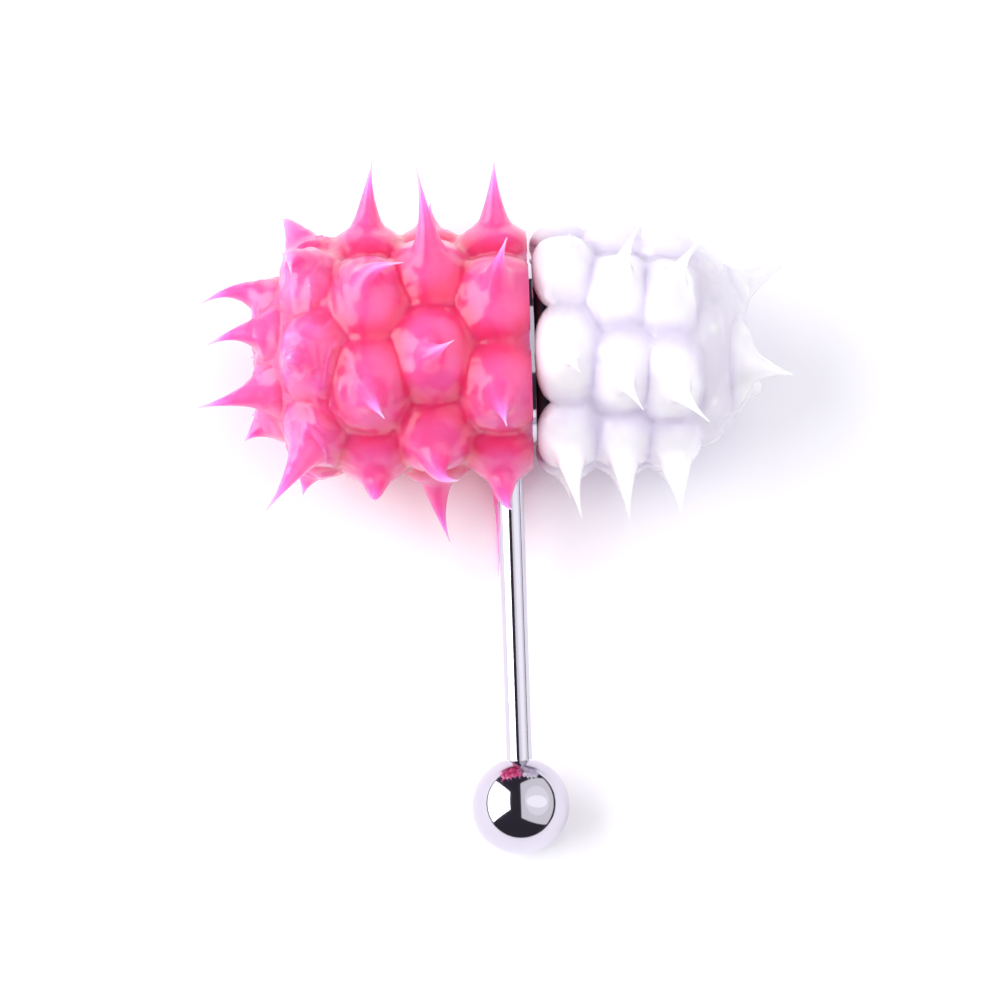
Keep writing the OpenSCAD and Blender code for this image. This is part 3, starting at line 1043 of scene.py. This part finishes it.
# The sleeve that stands for each CAD node. way: the way that it points along X.
SLEEVES = {
    # node: (piece, body, way, whether the post goes through it, rings, set)
    "pink_sleeve": ("pink_spiky_sleeve", "body", -1, True, PINK_RINGS, PINK_SET),
    "white_sleeve": ("white_spiky_sleeve", "cap", 1, False, WHITE_RINGS, WHITE_SET),
}


def make_sleeve(node, edge, length, reach, material):
    """Makes one sleeve, in the place of its plain CAD form."""
    name, body, way, with_post, rings, own_set = SLEEVES[node]
    sizes = bpy.context.scene.sleeve_sizes
    lie, axis = resting_place(sizes)
    wall_r = sizes.steel_r + sizes.gap + sizes.wall
    round_r = sizes.end_round + sizes.gap + sizes.wall
    mesh = seeds(name, sizes, lie, edge, way, length, rings, own_set)
    made = bpy.data.objects.new(name, mesh)
    bpy.context.collection.objects.link(made)
    outline = bpy.data.node_groups.get("Sleeve outline") or outline_tree()
    bump = bpy.data.node_groups.get("Bump with spike") or bump_tree(outline)
    tree = sleeve_tree(name.replace("_", " ").capitalize(), outline, bump, with_post)
    finished(
        made,
        tree,
        {
            "Edge": edge,
            "Way": float(way),
            "Length": length,
            "Round": round_r,
            "Flat": wall_r - round_r,
            "Wall": sizes.wall,
            "Sink": sizes.bump_sink,
            "Spike Radius": sizes.spike_r,
            "Draw": sizes.spike_draw,
            "Flare": sizes.flare,
            "Tip Radius": sizes.tip_r,
            "Floor Gap": sizes.floor_gap,
            "Floor Depth": wall_r + sizes.bump_h,
            "Lie": lie,
            "Hole Radius": sizes.hole_r,
            "Lip Width": sizes.lip_w,
            "Up": (0.0, math.sin(lie), math.cos(lie)),
            "Move": tuple(axis),
            "Lip Height": sizes.lip_h,
            "Lip Place": sizes.lip_at,
            "Least Run": -reach,
            "Swell": sizes.swell,
            "Folds": sizes.folds if with_post else 0.0,
            "Softening": sizes.softening,
            "Edge Width": sizes.edge_w,
            "Material": material,
        },
    )
    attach(made, body)
    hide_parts(node)


# Materials


def new_material(name):
    """A node material, with its tree and its shader."""
    made = bpy.data.materials.new(name)
    made.use_nodes = True
    return made, made.node_tree, made.node_tree.nodes["Principled BSDF"]


def moulded_silicone(name, colours, glow):
    """Soft translucent silicone rubber, dipped: a glossy, lumpy skin, with shade painted between
    the bumps.

    colours: on the bumps, the painted shade between them, and at the thin tips. glow: how far
    red, green and blue light go in it, as shares of the subsurface scale.
    """
    made, tree, shader = new_material(name)
    colours = [linear(c) for c in colours]
    valley, tip = (
        add(tree, "ShaderNodeAttribute", attribute_name=label).outputs["Fac"]
        for label in ("valley", "tip")
    )
    where = add(tree, "ShaderNodeTexCoord").outputs["Object"]
    # Cloudy pigment, about 2 mm across
    cloud = add(tree, "ShaderNodeTexNoise", {"Vector": where, "Scale": apart(2.2), "Detail": 2.0})
    some = add(
        tree,
        "ShaderNodeMapRange",
        {"Value": cloud.outputs[0], "From Min": 0.35, "From Max": 0.75, "To Max": 0.35},
    )
    # Painted shade: the deeper colour where the valley mask marks the creases between the bumps,
    # with the cloudy pigment added to it
    depth = add(
        tree,
        "ShaderNodeMath",
        {0: valley, 1: some.outputs[0]},
        operation="ADD",
        use_clamp=True,
    )
    body = add(
        tree,
        "ShaderNodeMix",
        {"Factor": depth.outputs[0], "A": colours[0], "B": colours[1]},
        data_type="RGBA",
    )
    # Paler where a spike is thin enough to let light through
    rise = add(
        tree,
        "ShaderNodeMapRange",
        {"Value": tip, "From Min": 0.3, "From Max": 1.0},
        interpolation_type="SMOOTHSTEP",
    )
    # Paler towards the pink sleeve's closed end, which faces the lamp at the left: painted light.
    # The same mask raises the folds in the skin there.
    split = add(tree, "ShaderNodeSeparateXYZ", {0: where})
    milky = add(
        tree,
        "ShaderNodeMapRange",
        {"Value": split.outputs[0], "From Min": -8 * MM, "From Max": -14 * MM, "To Max": 0.28},
    )
    pale = add(
        tree, "ShaderNodeMath", {0: rise.outputs[0], 1: milky.outputs[0]}, operation="MAXIMUM"
    )
    whole = add(
        tree,
        "ShaderNodeMix",
        {"Factor": pale.outputs[0], "A": body.outputs[2], "B": colours[2]},
        data_type="RGBA",
    )
    tree.links.new(whole.outputs[2], shader.inputs["Base Color"])
    # A lumpy skin, 1.4 mm from wave to wave, with thin folds at the pink sleeve's closed end
    waves = add(tree, "ShaderNodeTexNoise", {"Vector": where, "Scale": apart(1.4), "Detail": 1.5})
    folds = add(
        tree,
        "ShaderNodeTexNoise",
        {"Vector": where, "Scale": apart(3), "Detail": 0.0, "Distortion": 0.8},
    )
    skin = work_out(
        tree,
        {"waves": waves.outputs[0], "folds": folds.outputs[0], "milky": milky.outputs[0]},
        [
            # Ridges where the noise crosses its middle, three times as high as the lumps
            ("middle", "SUBTRACT", "folds", 0.5),
            ("from middle", "ABSOLUTE", "middle"),
            ("ridge", "MULTIPLY_ADD", "from middle", -6.0, 1.0),
            ("ridge 0", "MAXIMUM", "ridge", 0.0),
            ("fold", "MULTIPLY", "ridge 0", "milky"),
            ("height", "MULTIPLY_ADD", "fold", 3.0, "waves"),
        ],
    )
    bump = add(
        tree,
        "ShaderNodeBump",
        {"Height": skin["height"], "Strength": 0.5, "Distance": 0.3 * MM},
    )
    tree.links.new(bump.outputs[0], shader.inputs["Normal"])
    for label, value in {
        "Roughness": 0.34,
        "IOR": 1.41,
        "Subsurface Weight": 1.0,
        "Subsurface Radius": glow,
        "Subsurface Scale": 3.6 * MM,
        "Coat Weight": 0.7,
        "Coat Roughness": 0.12,
    }.items():
        shader.inputs[label].default_value = value
    return made


def polished_steel(name, colour):
    """Surgical steel, turned and polished: mirror bright with the faintest haze."""
    made, tree, shader = new_material(name)
    where = add(tree, "ShaderNodeTexCoord").outputs["Object"]
    # Haze of handling, in patches of 1.4 mm
    haze = add(tree, "ShaderNodeTexNoise", {"Vector": where, "Scale": apart(1.4), "Detail": 3.0})
    rough = add(
        tree,
        "ShaderNodeMapRange",
        {"Value": haze.outputs[0], "To Min": 0.05, "To Max": 0.12},
    )
    tree.links.new(rough.outputs[0], shader.inputs["Roughness"])
    shader.inputs["Base Color"].default_value = linear(colour)
    shader.inputs["Metallic"].default_value = 1.0
    return made


def nitrile_rubber(name, colour):
    """Black nitrile rubber, moulded: dark, with a soft wide sheen."""
    made, tree, shader = new_material(name)
    where = add(tree, "ShaderNodeTexCoord").outputs["Object"]
    # Grain of the mould, finer than 0.05 mm on the real ring and drawn coarser so that it shows
    grain = add(tree, "ShaderNodeTexNoise", {"Vector": where, "Scale": apart(0.25), "Detail": 2.0})
    bump = add(
        tree,
        "ShaderNodeBump",
        {"Height": grain.outputs[0], "Strength": 0.2, "Distance": 0.05 * MM},
    )
    tree.links.new(bump.outputs[0], shader.inputs["Normal"])
    rough = add(
        tree,
        "ShaderNodeMapRange",
        {"Value": grain.outputs[0], "To Min": 0.32, "To Max": 0.5},
    )
    tree.links.new(rough.outputs[0], shader.inputs["Roughness"])
    shader.inputs["Base Color"].default_value = linear(colour)
    return made


def dress(node, material):
    """Gives a CAD node its material."""
    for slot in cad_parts[node].material_slots:
        slot.material = material


# Operators


class BARBELL_OT_steel(bpy.types.Operator):
    """Gives the capsule, the post and the ball their polish"""

    bl_idname = "barbell.steel"
    bl_label = "Steel"

    def execute(self, context):
        steel = polished_steel("Polished surgical steel", context.scene.finishes.steel)
        for node in ("capsule_body", "capsule_cap", "post", "ball"):
            dress(node, steel)
        return {"FINISHED"}


class BARBELL_OT_ring(bpy.types.Operator):
    """Gives the ring between the sleeves its rubber"""

    bl_idname = "barbell.ring"
    bl_label = "Rubber ring"

    def execute(self, context):
        dress("seal_ring", nitrile_rubber("Nitrile rubber", context.scene.finishes.rubber))
        return {"FINISHED"}


class BARBELL_OT_pink_sleeve(bpy.types.Operator):
    """Makes the long pink sleeve, with the hole for the post"""

    bl_idname = "barbell.pink_sleeve"
    bl_label = "Pink sleeve"

    def execute(self, context):
        sizes, looks = context.scene.sleeve_sizes, context.scene.finishes
        colours = (looks.pink, looks.pink_painted_shade, looks.pink_tip)
        # Red light goes furthest in the pink rubber, so its thin parts glow
        rubber = moulded_silicone("Dipped pink silicone", colours, (1.0, 0.3, 0.45))
        make_sleeve("pink_sleeve", sizes.pink_x, sizes.pink_l, sizes.pink_reach, rubber)
        return {"FINISHED"}


class BARBELL_OT_white_sleeve(bpy.types.Operator):
    """Makes the short white sleeve"""

    bl_idname = "barbell.white_sleeve"
    bl_label = "White sleeve"

    def execute(self, context):
        sizes, looks = context.scene.sleeve_sizes, context.scene.finishes
        colours = (looks.white, looks.white_painted_shade, looks.white)
        rubber = moulded_silicone("Dipped white silicone", colours, (0.8, 0.75, 0.8))
        make_sleeve("white_sleeve", sizes.white_x, sizes.white_l, sizes.white_reach, rubber)
        return {"FINISHED"}


# Soft boxes: a white one that stands at the left, a greyer one that leans over from the
# right and is brighter towards its middle, and a wide one above that no gloss mirrors.
LIGHTS = [
    # name, shape, place, way it faces, width and height, glow, mirrored
    ("left box", "RECTANGLE", (-0.5, 0.1, 0.52), (1, 0, 0), (0.8, 0.96), 3.1, True),
    ("right box", "RECTANGLE", (0.27, 0.07, 0.33), (-1, 0, -1), (1.05, 0.76), 0.72, True),
    ("right core", "ELLIPSE", (0.26, 0.03, 0.33), (-1, 0, -1), (0.55, 0.5), 0.12, True),
    ("right heart", "ELLIPSE", (0.25, 0.0, 0.33), (-1, 0, -1), (0.2, 0.4), 0.2, True),
    ("top box", "RECTANGLE", (0.0, 0.0, 1.4), (0, 0, -1), (1.8, 1.8), 0.8, False),
]


class BARBELL_OT_stage(bpy.types.Operator):
    """Makes the floor, the lights and the camera"""

    bl_idname = "barbell.stage"
    bl_label = "Studio"

    def execute(self, context):
        studio = context.scene.studio
        mesh = bpy.data.meshes.new("floor")
        s = FLOOR_W / 2
        mesh.from_pydata([(-s, -s, 0), (s, -s, 0), (s, s, 0), (-s, s, 0)], [], [(0, 1, 2, 3)])
        floor = bpy.data.objects.new("floor", mesh)
        context.collection.objects.link(floor)
        material, tree, shader = new_material("Matt white board")
        shader.inputs["Base Color"].default_value = linear(studio.floor)
        shader.inputs["Roughness"].default_value = 0.9
        mesh.materials.append(material)

        world = bpy.data.worlds.new("studio")
        world.use_nodes = True
        world.node_tree.nodes["Background"].inputs["Color"].default_value = linear(studio.dark)
        world.node_tree.nodes["Background"].inputs["Strength"].default_value = 1.0
        context.scene.world = world

        for name, shape, place, faces, size, glow, mirrored in LIGHTS:
            light = bpy.data.lights.new(name, "AREA")
            light.shape = shape
            light.size, light.size_y = size
            # So much power for its area gives a box the same glow whatever its size
            light.energy = 4 * glow * size[0] * size[1] * studio.brightness
            lamp = bpy.data.objects.new(name, light)
            context.collection.objects.link(lamp)
            lamp.location = place
            lamp.rotation_euler = Vector(faces).to_track_quat("-Z", "Y").to_euler()
            lamp.visible_glossy = mirrored

        camera = bpy.data.cameras.new("camera")
        camera.lens = studio.lens
        camera.sensor_width = SENSOR_W
        camera.clip_start = 10 * MM
        distance = studio.view_w * studio.lens / SENSOR_W
        seen = bpy.data.objects.new("camera", camera)
        context.collection.objects.link(seen)
        el, az = studio.elevation, studio.turn
        away = Vector((math.sin(az) * math.cos(el), -math.cos(az) * math.cos(el), math.sin(el)))
        aim = resting_place(context.scene.sleeve_sizes)[1] + Vector(studio.aim)
        seen.location = aim + away * distance
        seen.rotation_euler = (-away).to_track_quat("-Z", "Y").to_euler()
        context.scene.camera = seen
        # White stays white, as on a catalogue page
        context.scene.view_settings.view_transform = "Standard"
        return {"FINISHED"}


class BARBELL_PT_panel(bpy.types.Panel):
    """Lists the pieces in the sidebar"""

    bl_label = "Tongue barbell"
    bl_space_type = "VIEW_3D"
    bl_region_type = "UI"
    bl_category = "Barbell"

    def draw(self, context):
        for operator in OPERATORS:
            self.layout.operator(operator.bl_idname)
        for group in (context.scene.sleeve_sizes, context.scene.finishes, context.scene.studio):
            box = self.layout.box()
            for name in group.bl_rna.properties.keys():
                if name not in ("rna_type", "name"):
                    box.prop(group, name)


OPERATORS = [
    BARBELL_OT_steel,
    BARBELL_OT_ring,
    BARBELL_OT_pink_sleeve,
    BARBELL_OT_white_sleeve,
    BARBELL_OT_stage,
]
CLASSES = [SleeveSizes, Finishes, StudioSettings, *OPERATORS, BARBELL_PT_panel]


def register():
    for one in CLASSES:
        bpy.utils.register_class(one)
    bpy.types.Scene.sleeve_sizes = bpy.props.PointerProperty(type=SleeveSizes)
    bpy.types.Scene.finishes = bpy.props.PointerProperty(type=Finishes)
    bpy.types.Scene.studio = bpy.props.PointerProperty(type=StudioSettings)


def unregister():
    del bpy.types.Scene.studio
    del bpy.types.Scene.finishes
    del bpy.types.Scene.sleeve_sizes
    for one in reversed(CLASSES):
        bpy.utils.unregister_class(one)


def main():
    register()
    bpy.ops.barbell.steel()
    bpy.ops.barbell.ring()
    bpy.ops.barbell.pink_sleeve()
    bpy.ops.barbell.white_sleeve()
    bpy.ops.barbell.stage()


if __name__ == "__main__":
    main()
